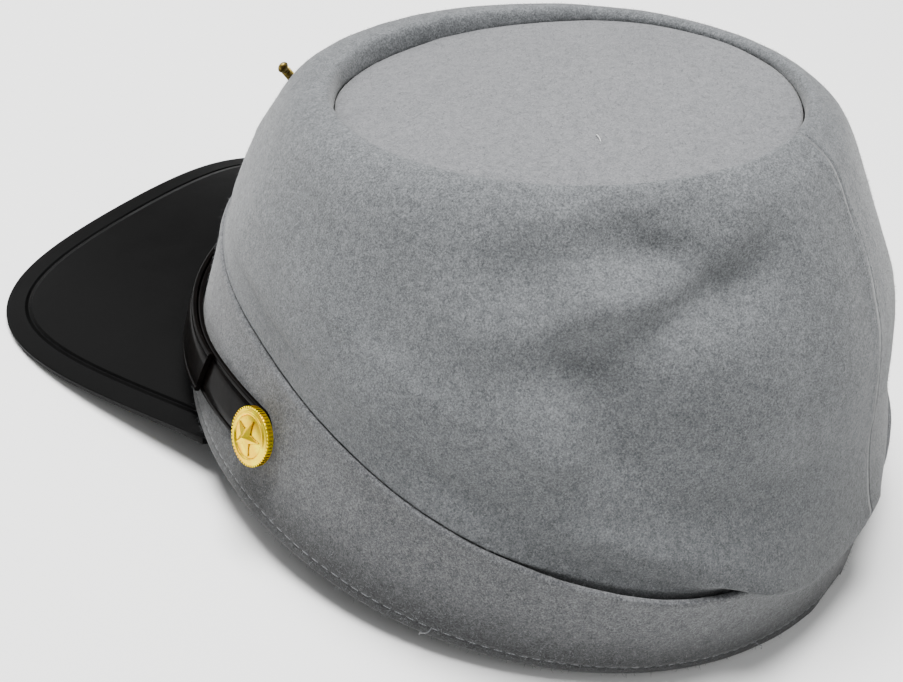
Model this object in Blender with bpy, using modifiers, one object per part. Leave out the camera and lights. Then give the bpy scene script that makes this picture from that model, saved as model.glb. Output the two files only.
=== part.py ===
"""A felt kepi cap with a leather peak, a two-layer chin strap, two buttons and a badge.

Lengths are metres and +Z is up. The cap is modelled level, with the band's lower edge
at zero height, the peak towards -Y and the wearer's left towards +X. An empty then
tips it to the pose it takes on a table, where the back of the band and the two low
corners of the peak carry it.
"""

import math

import bmesh
import bpy
from mathutils import Vector

# Driving dimensions, in metres
CLEARANCE = 0.0003

HEAD_FRONT = 0.0995
HEAD_REAR = 0.0959
HEAD_WIDTH = 0.1862

BAND_HEIGHT = 0.038
BAND_THICKNESS = 0.0024
BAND_CLEARANCE = 0.0004

CROWN_THICKNESS = 0.0020
CROWN_FRONT_HEIGHT = 0.0838
CROWN_REAR_HEIGHT = 0.1190
CROWN_ROLL = 0.0062
ROLL_TURN = 171.0
RIM_DEPTH = 0.0056
RIM_INSET = 0.0021

TOP_THICKNESS = 0.0020
TOP_DOME = 0.0012

PEAK_REACH = 0.0546
PEAK_WIDTH = 0.1516
PEAK_SLOPE = 13.8
PEAK_SQUARENESS = 4.4
PEAK_THICKNESS = 0.0022
PEAK_TUCK = 0.0060

STRAP_WIDTH = 0.0130
STRAP_THICKNESS = 0.0014
STRAP_UNDER_END = -50.0
STRAP_OVER_END = 50.0
STRAP_LAYER_RAMP = 9.0
STRAP_TAIL = 1.8

BUTTON_DIAMETER = 0.0150
BUTTON_HEIGHT = 0.0048
BUTTON_ANGLE = 68.5
STAR_RELIEF = 0.0007

BADGE_SPAN = 0.0420
BADGE_THICKNESS = 0.0022
BADGE_LIFT = 0.0208
BADGE_SLOPE = 36.0
BADGE_TURN = 8.0

REST_FLAT = 0.0003

# Angles run from the front of the cap, 0 degrees, over its left side to its back, 180
# degrees. But for the slump and the folds, the two halves of the cap mirror each other.

# The band's wall: its height and strap line as shares of BAND_HEIGHT, its lean outwards.
BAND_SECTIONS = (
    # angle, height, lean in degrees
    (0, 1.00, -1.0),
    (20, 1.00, -2.0),
    (40, 1.00, -7.0),
    (60, 1.00, -13.0),
    (80, 0.98, -10.5),
    (100, 0.91, -4.5),
    (120, 0.82, 0.5),
    (140, 0.75, 4.0),
    (160, 0.71, -1.5),
    (180, 0.70, -7.0),
)

# Where the crown slumps over the band: how far it bulges (out) and sags (sag), at angles
# away from the middle of the slump, which lies at ROLL_TURN.
ROLL_SECTIONS = (
    # angle away, out, sag
    (0, 1.00, 1.00),
    (9, 1.00, 1.00),
    (19, 1.00, 0.40),
    (32, 0.00, 0.00),
    (50, -0.25, 0.00),
    (78, 0.00, 0.00),
    (180, 0.00, 0.00),
)

# The crown's wall where it leaves the band. Heights are above the band's upper edge and
# distances outwards from the band's face, both as shares of CROWN_ROLL.
ROLL_STATIONS = (
    # plain height, plain out, rolled height, rolled out
    (0.06, -0.46, 0.07, -0.46),
    (0.25, -0.50, 0.16, -0.18),
    (0.45, -0.53, 0.08, 0.12),
    (0.65, -0.55, -0.50, 0.12),
    (0.90, -0.55, -1.05, 0.42),
    (1.25, -0.56, -0.60, 0.60),
    (1.75, -0.60, 0.44, 0.25),
)

# Where the crown's wall stands inside the band, as shares of the band's height.
HEM_SHARES = (0.05, 0.5, 0.9)

# Rings of the crown above the band: reaches as shares of HEAD_FRONT and HEAD_REAR, heights
# as shares of the crown's two heights, half width as a share of half of HEAD_WIDTH.
CROWN_RINGS = (
    # front reach, front height, rear reach, rear height, half width
    (0.938, 0.570, 0.916, 0.405, 0.905),
    (0.925, 0.730, 0.818, 0.677, 0.838),
    (0.903, 0.890, 0.600, 0.924, 0.735),
    (0.863, 0.965, 0.520, 0.980, 0.672),
    (0.789, 1.000, 0.445, 1.000, 0.611),
)
SKIRT_STEPS = 3
RING_STEPS = (4, 3, 2, 2)

# Soft dents and ridges of the crown's wall, each along a line between two points on it.
# Heights, widths and rises are shares of CROWN_REAR_HEIGHT. A dent has a negative rise.
# FOLD_GIRTH is the crown's girth where the folds lie, as a share of the band's.
FOLD_GIRTH = 0.75
FOLD_FADE_STEPS = 3
FOLDS = (
    # start angle, start height, end angle, end height, width, rise
    (117, 0.905, 137, 0.925, 0.050, -0.026),
    (114, 0.80, 136, 0.87, 0.052, 0.020),
    (125, 0.78, 156, 0.885, 0.048, -0.028),
    (99, 0.77, 115, 0.86, 0.055, -0.015),
    (94, 0.66, 122, 0.80, 0.060, 0.018),
    (111, 0.70, 121, 0.66, 0.060, -0.018),
    (121, 0.66, 133, 0.40, 0.060, -0.020),
    (112, 0.57, 131, 0.27, 0.050, 0.026),
    (99, 0.42, 121, 0.33, 0.060, -0.028),
    (82, 0.50, 99, 0.48, 0.050, 0.018),
    (77, 0.60, 88, 0.57, 0.060, -0.012),
    (138, 0.34, 170, 0.40, 0.050, -0.016),
    (-98, 0.72, -122, 0.85, 0.065, -0.018),
    (-110, 0.56, -132, 0.36, 0.065, 0.018),
    (-138, 0.56, -150, 0.80, 0.065, -0.018),
)

# Depth of the top below the rim, as a share of RIM_DEPTH.
RIM_SECTIONS = (
    # angle, depth
    (0, 1.00),
    (45, 0.70),
    (90, 0.30),
    (135, 0.45),
    (180, 0.70),
)

# The strap's middle line, as a share of BAND_HEIGHT above the band's lower edge.
STRAP_SECTIONS = (
    # angle, height
    (0, 0.225),
    (20, 0.235),
    (40, 0.34),
    (55, 0.46),
    (70, 0.575),
    (76, 0.62),
)

EDGE_SAMPLES = 720
ANGLE_STEPS = 64
PEAK_STEPS = 40
STRAP_STEPS = 44
BUTTON_STEPS = 24


def read_table(rows, angle, column):
    """Smooth value of a table's column at an angle, the same on both sides of the cap."""
    angle = abs((angle + 180.0) % 360.0 - 180.0)
    angle = min(max(angle, rows[0][0]), rows[-1][0])
    last = len(rows) - 1
    index = next(i for i in range(last) if angle <= rows[i + 1][0])
    before, start, end, after = (rows[min(max(index + k, 0), last)] for k in (-1, 0, 1, 2))
    span = end[0] - start[0]
    part = (angle - start[0]) / span
    rise_in = (end[column] - before[column]) / (end[0] - before[0]) * span if index else 0.0
    rise_out = (after[column] - start[column]) / (after[0] - start[0]) * span if index < last - 1 else 0.0
    square, cube = part ** 2, part ** 3
    return (
        (2 * cube - 3 * square + 1) * start[column]
        + (cube - 2 * square + part) * rise_in
        + (3 * square - 2 * cube) * end[column]
        + (cube - square) * rise_out
    )


def mix(start, end, part):
    """Value or vector a part of the way from start to end."""
    return start + (end - start) * part


def spline_point(before, start, end, after, part):
    """Point of a smooth curve between start and end."""
    square, cube = part ** 2, part ** 3
    return 0.5 * (
        2 * start
        + (end - before) * part
        + (2 * before - 5 * start + 4 * end - after) * square
        + (3 * start - before - 3 * end + after) * cube
    )


def spread_evenly(points, count):
    """The same path with its points at even distances."""
    lengths = [0.0]
    for first, second in zip(points, points[1:]):
        lengths.append(lengths[-1] + (second - first).length)
    path = []
    index = 0
    for step in range(count + 1):
        wanted = lengths[-1] * step / count
        while index < len(points) - 2 and lengths[index + 1] < wanted:
            index += 1
        part = (wanted - lengths[index]) / (lengths[index + 1] - lengths[index])
        path.append(mix(points[index], points[index + 1], part))
    return path


def base_point(angle, inset=0.0):
    """Point of the band's lower edge, or of an oval inside it."""
    turn = math.radians(angle)
    reach = HEAD_FRONT if math.cos(turn) > 0.0 else HEAD_REAR
    return Vector(((HEAD_WIDTH / 2 - inset) * math.sin(turn), -(reach - inset) * math.cos(turn), 0.0))


def base_normal(angle):
    """Level direction pointing out of the band's lower edge."""
    turn = math.radians(angle)
    reach = HEAD_FRONT if math.cos(turn) > 0.0 else HEAD_REAR
    return Vector((math.sin(turn) * reach, -math.cos(turn) * HEAD_WIDTH / 2, 0.0)).normalized()


def band_frame(angle):
    """Base point of the band's wall, its direction upwards and its direction outwards."""
    lean = math.radians(read_table(BAND_SECTIONS, angle, 2))
    level = base_normal(angle)
    upwards = level * math.sin(lean) + Vector((0.0, 0.0, math.cos(lean)))
    outwards = level * math.cos(lean) - Vector((0.0, 0.0, math.sin(lean)))
    return base_point(angle), upwards, outwards


def band_point(angle, height, out):
    """Point a height up the band's wall and a distance out from its face."""
    base, upwards, outwards = band_frame(angle)
    return base + upwards * height + outwards * out


def band_top(angle):
    """Height of the band's upper edge, measured up its wall."""
    return BAND_HEIGHT * read_table(BAND_SECTIONS, angle, 1)


def ring_point(row, angle, inset=0.0, drop=0.0):
    """Point of one of the crown's level or tilted oval rings."""
    front_reach, front_height, rear_reach, rear_height, half_width = row
    front = Vector((0.0, -front_reach * HEAD_FRONT, front_height * CROWN_FRONT_HEIGHT))
    rear = Vector((0.0, rear_reach * HEAD_REAR, rear_height * CROWN_REAR_HEIGHT))
    along = (rear - front) / 2
    across = Vector((half_width * HEAD_WIDTH / 2 - inset, 0.0, 0.0))
    below = along.normalized().cross(Vector((1.0, 0.0, 0.0)))
    along *= 1.0 - inset / along.length
    turn = math.radians(angle)
    return (front + rear) / 2 + across * math.sin(turn) - along * math.cos(turn) + below * drop


def rim_depth(angle):
    """Depth of the top below the rim."""
    return RIM_DEPTH * read_table(RIM_SECTIONS, angle, 1)


def roll_point(row, angle):
    """Point of the crown's wall just above the band, or sagging over it."""
    plain_height, plain_out, rolled_height, rolled_out = row
    away = angle - ROLL_TURN
    out = mix(plain_out, rolled_out, read_table(ROLL_SECTIONS, away, 1))
    height = mix(plain_height, rolled_height, read_table(ROLL_SECTIONS, away, 2))
    return band_point(angle, band_top(angle) + height * CROWN_ROLL, out * CROWN_ROLL)


def fold_rise(point):
    """How far the folds push a point of the crown's wall outwards."""
    reach = HEAD_FRONT if point.y < 0.0 else HEAD_REAR
    angle = math.degrees(math.atan2(point.x / (HEAD_WIDTH / 2), -point.y / reach))
    degree = math.radians(1.0) * FOLD_GIRTH * HEAD_WIDTH / 2 / CROWN_REAR_HEIGHT
    spot = Vector((angle * degree, point.z / CROWN_REAR_HEIGHT))
    total = 0.0
    for start_angle, start_height, end_angle, end_height, width, rise in FOLDS:
        start = Vector((start_angle * degree, start_height))
        along = Vector((end_angle * degree, end_height)) - start
        part = min(max((spot - start).dot(along) / along.length_squared, 0.0), 1.0)
        total += rise * math.exp(-((spot - start - along * part).length / width) ** 2)
    return total * CROWN_REAR_HEIGHT


def wall_points(angle):
    """The crown's smooth outer face at an angle, from its hem up to the rim."""
    behind = -(BAND_THICKNESS + BAND_CLEARANCE)
    points = [band_point(angle, band_top(angle) * share, behind) for share in HEM_SHARES]
    points += [roll_point(row, angle) for row in ROLL_STATIONS]
    rings = [ring_point(row, angle) for row in CROWN_RINGS]
    knots = [points[-1], *rings, mix(rings[-1], rings[-2], -1.0)]
    skirt = (points[-2], points[-1], rings[0], rings[1])
    points += [spline_point(*skirt, step / SKIRT_STEPS) for step in range(1, SKIRT_STEPS + 1)]
    for index, steps in enumerate(RING_STEPS):
        before, start, end, after = knots[index:index + 4]
        points += [spline_point(before, start, end, after, step / steps) for step in range(1, steps + 1)]
    return points


def new_object(name, mesh, colour, roughness, metallic=0.0):
    """Object with its own material, hung on the empty that sets the cap's pose."""
    material = bpy.data.materials.new(name)
    material.use_nodes = True
    shader = material.node_tree.nodes["Principled BSDF"]
    shader.inputs["Base Color"].default_value = (*colour, 1.0)
    shader.inputs["Roughness"].default_value = roughness
    shader.inputs["Metallic"].default_value = metallic
    mesh.materials.clear()
    mesh.materials.append(material)
    mesh.shade_smooth()
    mesh.set_sharp_from_angle(angle=math.radians(40))
    piece = bpy.data.objects.new(name, mesh)
    piece.parent = pose
    parts.objects.link(piece)
    return piece


def loft(name, sections, closed):
    """Mesh over a row of like sections, as a ring or as a bar with two ends."""
    form = bmesh.new()
    rows = [[form.verts.new(point) for point in section] for section in sections]
    pairs = list(zip(rows, rows[1:]))
    if closed:
        pairs.append((rows[-1], rows[0]))
    else:
        form.faces.new(rows[0])
        form.faces.new(reversed(rows[-1]))
    size = len(rows[0])
    for first, second in pairs:
        for index in range(size):
            other = (index + 1) % size
            form.faces.new((first[index], second[index], second[other], first[other]))
    bmesh.ops.recalc_face_normals(form, faces=form.faces)
    mesh = bpy.data.meshes.new(name)
    form.to_mesh(mesh)
    form.free()
    return mesh


def sheet(name, rows):
    """Open surface over rows of points that have the same length."""
    form = bmesh.new()
    grid = [[form.verts.new(point) for point in row] for row in rows]
    for first, second in zip(grid, grid[1:]):
        for index in range(len(first) - 1):
            form.faces.new((first[index], first[index + 1], second[index + 1], second[index]))
    mesh = bpy.data.meshes.new(name)
    form.to_mesh(mesh)
    form.free()
    return mesh


def thicken(piece, thickness):
    """Wall below an open surface."""
    solidify = piece.modifiers.new("Wall", "SOLIDIFY")
    solidify.thickness = thickness
    solidify.offset = -1.0


def round_edges(piece, width, segments=1):
    """Small rounding on a piece's sharp edges."""
    bevel = piece.modifiers.new("Edges", "BEVEL")
    bevel.width = width
    bevel.segments = segments
    bevel.limit_method = "ANGLE"
    bevel.angle_limit = math.radians(50)


def wall_normals(walls, index):
    """Outward directions at one wall's points, all but the last, from the walls beside it."""
    wall = walls[index]
    before = walls[index - 1]
    after = walls[(index + 1) % len(walls)]
    normals = []
    for k in range(len(wall) - 1):
        around = after[k] - before[k]
        upwards = wall[k + 1] - wall[max(k - 1, 0)]
        normals.append(around.cross(upwards).normalized())
    return normals


def folded_walls(angles):
    """The crown's outer face at each angle, with its folds, which fade out at hem and rim."""
    plain = [wall_points(angle) for angle in angles]
    hem = len(HEM_SHARES) + len(ROLL_STATIONS) - 1
    folded = []
    for index, wall in enumerate(plain):
        rim = len(wall) - 1
        points = []
        for k, normal in enumerate(wall_normals(plain, index)):
            fade = min(max(k - hem, 0), rim - k, FOLD_FADE_STEPS) / FOLD_FADE_STEPS
            points.append(wall[k] + normal * fold_rise(wall[k]) * fade)
        folded.append([*points, wall[rim]])
    return folded


def make_crown():
    """Side wall, folded over at the rim and turned down to the seam of the top."""
    angles = [index * 360.0 / ANGLE_STEPS for index in range(ANGLE_STEPS)]
    walls = folded_walls(angles)
    crest = CROWN_RINGS[-1]
    sections = []
    for index, angle in enumerate(angles):
        wall = walls[index]
        normals = wall_normals(walls, index)
        lining = [point - normal * CROWN_THICKNESS for point, normal in zip(wall, normals)]
        depth = rim_depth(angle)
        bottom = depth + TOP_THICKNESS
        fold = [
            ring_point(crest, angle, RIM_INSET * 0.7, RIM_INSET * 0.45),
            ring_point(crest, angle, RIM_INSET, depth),
            ring_point(crest, angle, RIM_INSET, bottom),
            ring_point(crest, angle, RIM_INSET - CROWN_THICKNESS, bottom),
            ring_point(crest, angle, RIM_INSET * 0.3, CROWN_THICKNESS),
        ]
        sections.append(wall + fold + lining[::-1])
    return new_object("crown", loft("crown", sections, True), (0.24, 0.26, 0.27), 0.95)


def make_top():
    """Oval disk of the top, set below the rim."""
    crest = CROWN_RINGS[-1]
    centre = (ring_point(crest, 0.0) + ring_point(crest, 180.0)) / 2
    below = (ring_point(crest, 0.0, 0.0, 1.0) - ring_point(crest, 0.0)).normalized()
    middle = centre + below * (rim_depth(90.0) - TOP_DOME)
    step = 360.0 / ANGLE_STEPS
    form = bmesh.new()
    rows = []
    for share in (1.0, 0.55):
        row = []
        for index in range(ANGLE_STEPS):
            edge = ring_point(crest, index * step, RIM_INSET + CLEARANCE, rim_depth(index * step))
            rise = (edge - middle).dot(below)
            point = mix(middle, edge - below * rise, share) + below * rise * share ** 2
            row.append(form.verts.new(point))
        rows.append(row)
    for first, second in zip(rows, rows[1:]):
        for index in range(ANGLE_STEPS):
            other = (index + 1) % ANGLE_STEPS
            form.faces.new((first[index], first[other], second[other], second[index]))
    hub = form.verts.new(middle)
    for index in range(ANGLE_STEPS):
        form.faces.new((rows[-1][index], rows[-1][(index + 1) % ANGLE_STEPS], hub))
    mesh = bpy.data.meshes.new("crown_top")
    form.to_mesh(mesh)
    form.free()
    piece = new_object("crown_top", mesh, (0.36, 0.38, 0.39), 0.95)
    thicken(piece, TOP_THICKNESS)
    return piece


def make_band():
    """Strip of felt round the lower edge, with soft edges."""
    # shares of the band's height, then of its thickness inwards from its face
    outline = (
        (0.0, 0.25), (0.012, 0.0), (0.975, 0.0), (1.0, 0.25),
        (1.0, 0.75), (0.975, 1.0), (0.5, 1.0), (0.012, 1.0), (0.0, 0.75),
    )
    sections = []
    for index in range(ANGLE_STEPS):
        angle = index * 360.0 / ANGLE_STEPS
        top = band_top(angle)
        section = [band_point(angle, top * up, -BAND_THICKNESS * inwards) for up, inwards in outline]
        for point in section:
            point.z = max(point.z, 0.0)
        sections.append(section)
    return new_object("band", loft("band", sections, True), (0.22, 0.24, 0.25), 0.95)


def peak_corner():
    """Angle at which the peak's outer edge meets the band."""
    return math.degrees(math.asin(PEAK_WIDTH / HEAD_WIDTH))


def peak_height(point):
    """The point dropped onto the peak's upper face, which falls away from the band."""
    across = min(abs(point.x) / (HEAD_WIDTH / 2), 1.0)
    front = -HEAD_FRONT * math.sqrt(1.0 - across ** 2)
    ahead = max(front - point.y, 0.0)
    return Vector((point.x, point.y, -CLEARANCE - math.tan(math.radians(PEAK_SLOPE)) * ahead))


def peak_edge():
    """The peak's outer edge in plan, from the wearer's right to the left."""
    corner = base_point(peak_corner())
    depth = PEAK_REACH + HEAD_FRONT + corner.y
    power = 2.0 / PEAK_SQUARENESS
    path = []
    for index in range(EDGE_SAMPLES + 1):
        turn = math.pi * (index / EDGE_SAMPLES - 0.5)
        across = math.copysign(abs(math.sin(turn)) ** power, turn)
        ahead = max(math.cos(turn), 0.0) ** power
        path.append(Vector((PEAK_WIDTH / 2 * across, corner.y - depth * ahead, 0.0)))
    return spread_evenly(path, PEAK_STEPS)


def make_peak():
    """Crescent of stiff leather under the front of the band."""
    corner = peak_corner()
    rows = []
    for index, edge in enumerate(peak_edge()):
        angle = corner * (2 * index / PEAK_STEPS - 1)
        root = base_point(angle, PEAK_TUCK)
        seat = base_point(angle)
        row = [root, seat] + [mix(seat, edge, share) for share in (0.2, 0.4, 0.6, 0.8, 0.93, 1.0)]
        if index in (0, PEAK_STEPS):
            row = [mix(root, edge, share / 7) for share in range(8)]
        rows.append([peak_height(point) for point in row])
    piece = new_object("peak", sheet("peak", rows), (0.012, 0.012, 0.013), 0.35)
    thicken(piece, PEAK_THICKNESS)
    round_edges(piece, PEAK_THICKNESS * 0.25)
    return piece


def strap_back(angle, layer):
    """Distance from the band to the back of the under layer, 0, or of the over layer, 1."""
    raised = layer * (CLEARANCE + STRAP_THICKNESS)
    part = min(max((STRAP_UNDER_END - angle) / STRAP_LAYER_RAMP, 0.0), 1.0)
    return CLEARANCE + raised * (1.0 - part ** 2 * (3 - 2 * part))


def make_strap(name, start, end, layer):
    """Flat patent strap along the band's front, at a height given by its table."""
    half = STRAP_WIDTH / 2
    sections = []
    for index in range(STRAP_STEPS + 1):
        angle = mix(start, end, index / STRAP_STEPS)
        height = BAND_HEIGHT * read_table(STRAP_SECTIONS, angle, 1)
        back = strap_back(angle, layer)
        face = back + STRAP_THICKNESS
        sections.append([
            band_point(angle, height + up, out)
            for up, out in ((-half, back), (half, back), (half, face), (-half, face))
        ])
    return new_object(name, loft(name, sections, False), (0.01, 0.01, 0.01), 0.12)


def button_frame(side):
    """Centre of a button's back, with its directions across, up and outwards."""
    angle = BUTTON_ANGLE * side
    height = BAND_HEIGHT * read_table(STRAP_SECTIONS, angle, 1)
    upwards, outwards = band_frame(angle)[1:]
    back = band_point(angle, height, 2 * CLEARANCE + STRAP_THICKNESS)
    return back, upwards.cross(outwards), upwards, outwards


def make_button(name, side):
    """Domed brass button with a rim and a raised five-pointed star."""
    radius = BUTTON_DIAMETER / 2
    # radius and height shares of the turned profile, from the middle of the face
    profile = (
        (0.0, 0.80), (0.40, 0.76), (0.74, 0.62), (0.80, 0.66), (0.90, 0.66),
        (1.0, 0.50), (1.0, 0.22), (0.88, 0.0), (0.0, 0.0),
    )
    back, across, upwards, outwards = button_frame(side)
    form = bmesh.new()
    rings = []
    for reach, height in profile:
        steps = BUTTON_STEPS if reach else 1
        ring = []
        for index in range(steps):
            turn = 2 * math.pi * index / BUTTON_STEPS
            spoke = across * math.cos(turn) + upwards * math.sin(turn)
            ring.append(form.verts.new(back + spoke * radius * reach + outwards * BUTTON_HEIGHT * height))
        rings.append(ring)
    for first, second in zip(rings, rings[1:]):
        for index in range(BUTTON_STEPS):
            other = (index + 1) % BUTTON_STEPS
            corners = [first[index % len(first)], second[index % len(second)]]
            if len(second) > 1:
                corners.append(second[other])
            if len(first) > 1:
                corners.append(first[other])
            form.faces.new(corners)
    bmesh.ops.recalc_face_normals(form, faces=form.faces)
    mesh = bpy.data.meshes.new(name)
    form.to_mesh(mesh)
    form.free()
    piece = new_object(name, mesh, (0.80, 0.58, 0.16), 0.3, 1.0)
    add_star(piece, name, back, across, upwards, outwards)
    return piece


def add_star(piece, name, back, across, upwards, outwards):
    """Raise a ridged star from a button's face."""
    reach = BUTTON_DIAMETER * 0.33
    foot = BUTTON_HEIGHT * 0.3
    edge = BUTTON_HEIGHT * 0.68
    peak = BUTTON_HEIGHT * 0.8 + STAR_RELIEF
    form = bmesh.new()
    low = []
    high = []
    for index in range(10):
        turn = math.pi * (0.5 + index / 5)
        length = reach * (1.0 if index % 2 == 0 else 0.42)
        spoke = (across * math.cos(turn) + upwards * math.sin(turn)) * length
        low.append(form.verts.new(back + spoke + outwards * foot))
        high.append(form.verts.new(back + spoke + outwards * edge))
    tip = form.verts.new(back + outwards * peak)
    form.faces.new(low)
    for index in range(10):
        other = (index + 1) % 10
        form.faces.new((low[index], high[index], high[other], low[other]))
        form.faces.new((high[index], tip, high[other]))
    bmesh.ops.recalc_face_normals(form, faces=form.faces)
    mesh = bpy.data.meshes.new(name + "_star")
    form.to_mesh(mesh)
    form.free()
    join(piece, [mesh])


def join(piece, meshes):
    """Union of a piece with more closed meshes."""
    for mesh in meshes:
        tool = bpy.data.objects.new(mesh.name, mesh)
        tool.parent = pose
        tool.hide_render = True
        tool.display_type = "WIRE"
        tools.objects.link(tool)
        union = piece.modifiers.new("Union", "BOOLEAN")
        union.operation = "UNION"
        union.object = tool


def wall_at(wall, height):
    """Point of a wall at a height above the band."""
    index = next(k for k in range(len(HEM_SHARES), len(wall) - 1) if wall[k + 1].z > height)
    part = (height - wall[index].z) / (wall[index + 1].z - wall[index].z)
    return mix(wall[index], wall[index + 1], part)


def sword_half_length():
    """Half of a sword's length, so that the two level swords span the badge."""
    return BADGE_SPAN / 2 / math.cos(math.radians(BADGE_SLOPE))


def badge_frame():
    """Middle of the badge's back, its direction upwards and its direction outwards."""
    wall = wall_points(0.0)
    reach = sword_half_length() * math.sin(math.radians(BADGE_SLOPE + BADGE_TURN))
    rows = [wall_at(wall, BAND_HEIGHT + BADGE_LIFT + reach * share) for share in (-1.0, -0.5, 0.0, 0.5, 1.0)]
    upwards = (rows[-1] - rows[0]).normalized()
    outwards = Vector((1.0, 0.0, 0.0)).cross(upwards)
    middle = rows[len(rows) // 2]
    proud = max((point - middle).dot(outwards) for point in rows)
    return middle + outwards * (proud + CLEARANCE), upwards, outwards


def sword_mesh(name, slope):
    """One straight sword: blade, guard, grip and pommel drawn as one flat outline."""
    turn = math.radians(slope + BADGE_TURN)
    half = sword_half_length()
    # distance from the middle of the sword towards its pommel, then half width
    outline = (
        (1.00, 0.030), (0.96, 0.085), (0.88, 0.085), (0.84, 0.045), (0.52, 0.050),
        (0.50, 0.190), (0.42, 0.190), (0.40, 0.070), (-0.76, 0.055), (-0.90, 0.008),
    )
    middle, upwards, outwards = badge_frame()
    along = Vector((math.cos(turn), 0.0, 0.0)) + upwards * math.sin(turn)
    across = along.cross(outwards)
    ends = []
    for out in (0.0, BADGE_THICKNESS):
        edge = [middle + along * half * x + across * half * y + outwards * out for x, y in outline]
        edge += [middle + along * half * x - across * half * y + outwards * out for x, y in reversed(outline)]
        ends.append(edge)
    return loft(name, ends, False)


def make_badge():
    """Pair of crossed swords pinned to the front of the crown."""
    piece = new_object("badge", sword_mesh("badge", BADGE_SLOPE), (0.55, 0.42, 0.14), 0.4, 1.0)
    join(piece, [sword_mesh("badge_second_sword", 180.0 - BADGE_SLOPE)])
    return piece


def world_corners(piece):
    """World positions of a piece's finished vertices."""
    bpy.context.view_layer.update()
    shaped = piece.evaluated_get(bpy.context.evaluated_depsgraph_get())
    return [piece.matrix_world @ vertex.co for vertex in shaped.data.vertices]


def rest_on_table(pieces, band, peak):
    """Tip the cap onto the back of its band and the peak, and flatten where it rests."""
    heel = max(world_corners(band), key=lambda point: point.y - 4 * point.z)
    tips = [math.atan2(heel.z - point.z, heel.y - point.y) for point in world_corners(peak)]
    pose.rotation_euler.x = -max(tips)
    corners = [point for piece in pieces for point in world_corners(piece)]
    pose.location = (
        -(min(point.x for point in corners) + max(point.x for point in corners)) / 2,
        -(min(point.y for point in corners) + max(point.y for point in corners)) / 2,
        -min(point.z for point in corners) - REST_FLAT,
    )
    side = 2 * (HEAD_FRONT + HEAD_REAR + PEAK_REACH)
    bpy.ops.mesh.primitive_cube_add(size=side, location=(0.0, 0.0, -side / 2))
    table = bpy.context.object
    table.name = "table_plane"
    table.hide_render = True
    table.display_type = "WIRE"
    for home in list(table.users_collection):
        home.objects.unlink(table)
    tools.objects.link(table)
    for piece in (band, peak):
        cut = piece.modifiers.new("Rest", "BOOLEAN")
        cut.operation = "DIFFERENCE"
        cut.object = table


for item in list(bpy.data.objects):
    bpy.data.objects.remove(item)

parts = bpy.data.collections.new("kepi_cap")
tools = bpy.data.collections.new("cutters")
bpy.context.scene.collection.children.link(parts)
bpy.context.scene.collection.children.link(tools)
pose = bpy.data.objects.new("cap_pose", None)
parts.objects.link(pose)

crown = make_crown()
crown_top = make_top()
band = make_band()
peak = make_peak()
strap_under = make_strap("strap_under", STRAP_UNDER_END, BUTTON_ANGLE + STRAP_TAIL, 0)
strap_over = make_strap("strap_over", -BUTTON_ANGLE - STRAP_TAIL, STRAP_OVER_END, 1)
button_left = make_button("button_left", 1.0)
button_right = make_button("button_right", -1.0)
badge = make_badge()
rest_on_table(
    [crown, crown_top, band, peak, strap_under, strap_over, button_left, button_right, badge],
    band,
    peak,
)
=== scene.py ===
"""Looks of a grey felt kepi: brushed wool crown and band, black leather peak, patent chin
strap, stamped brass buttons, a pair of crossed swords on the front, stitches and nap.

Lengths are metres. The cap stands as the frame has it: peak towards -Y, wearer's left
towards +X, resting on the back of its band and the two low corners of its peak.
"""

import math

import bmesh
import bpy
import numpy as np
from mathutils import Matrix, Vector, noise
from mathutils.bvhtree import BVHTree


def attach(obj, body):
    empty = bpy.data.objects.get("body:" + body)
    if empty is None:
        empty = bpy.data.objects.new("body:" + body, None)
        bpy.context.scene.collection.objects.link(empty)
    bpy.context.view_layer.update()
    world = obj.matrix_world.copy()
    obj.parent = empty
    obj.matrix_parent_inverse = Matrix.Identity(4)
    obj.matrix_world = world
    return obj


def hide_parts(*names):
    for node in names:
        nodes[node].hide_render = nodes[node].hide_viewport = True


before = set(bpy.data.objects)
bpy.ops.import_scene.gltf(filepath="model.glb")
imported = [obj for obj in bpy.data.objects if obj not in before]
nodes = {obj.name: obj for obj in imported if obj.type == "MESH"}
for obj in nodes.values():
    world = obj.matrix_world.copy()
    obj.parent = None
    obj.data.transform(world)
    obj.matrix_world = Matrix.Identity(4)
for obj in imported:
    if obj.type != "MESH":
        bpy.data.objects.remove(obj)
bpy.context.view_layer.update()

# The cap's stand: a hat put down by itself rests nose up on the back of its band and on its
# peak. Places on the level cap, with its band flat on zero height, go through this pose.
CAP_TIP = -4.67725
CAP_SHIFT = (0.0, 0.0280866, 0.0074714)
pose = Matrix.Translation(CAP_SHIFT) @ Matrix.Rotation(math.radians(CAP_TIP), 4, "X")
level = pose.inverted()


# The table: a pale matt board, so large that it fills the view, under one wide soft lamp
# overhead, a weaker one each before and behind the cap, and an even white room.
FLOOR_SIZE = 6.0
FLOOR_DROP = 0.0002
KEY_PLACE = (0.05, -0.20, 1.45)
KEY_SIZE = 0.8
KEY_POWER = 60.0
FRONT_PLACE = (-0.3, -1.5, 0.8)
FRONT_POWER = 13.0
REAR_PLACE = (0.2, 1.5, 0.7)
REAR_POWER = 6.5
SIDE_SIZE = 1.2
LAMP_AIM = Vector((0.0, 0.0, 0.06))
ROOM_LIGHT = 0.40


def srgb(code, alpha=1.0):
    """Linear colour of an sRGB hex value."""
    parts = [int(code[k:k + 2], 16) / 255 for k in (1, 3, 5)]
    return (*[v / 12.92 if v <= 0.04045 else ((v + 0.055) / 1.055) ** 2.4 for v in parts], alpha)


def fill(tree, node, inputs):
    """Give a node's sockets their values or links."""
    for socket, value in inputs.items():
        if isinstance(value, bpy.types.NodeSocket):
            tree.links.new(value, node.inputs[socket])
        else:
            node.inputs[socket].default_value = value


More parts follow.
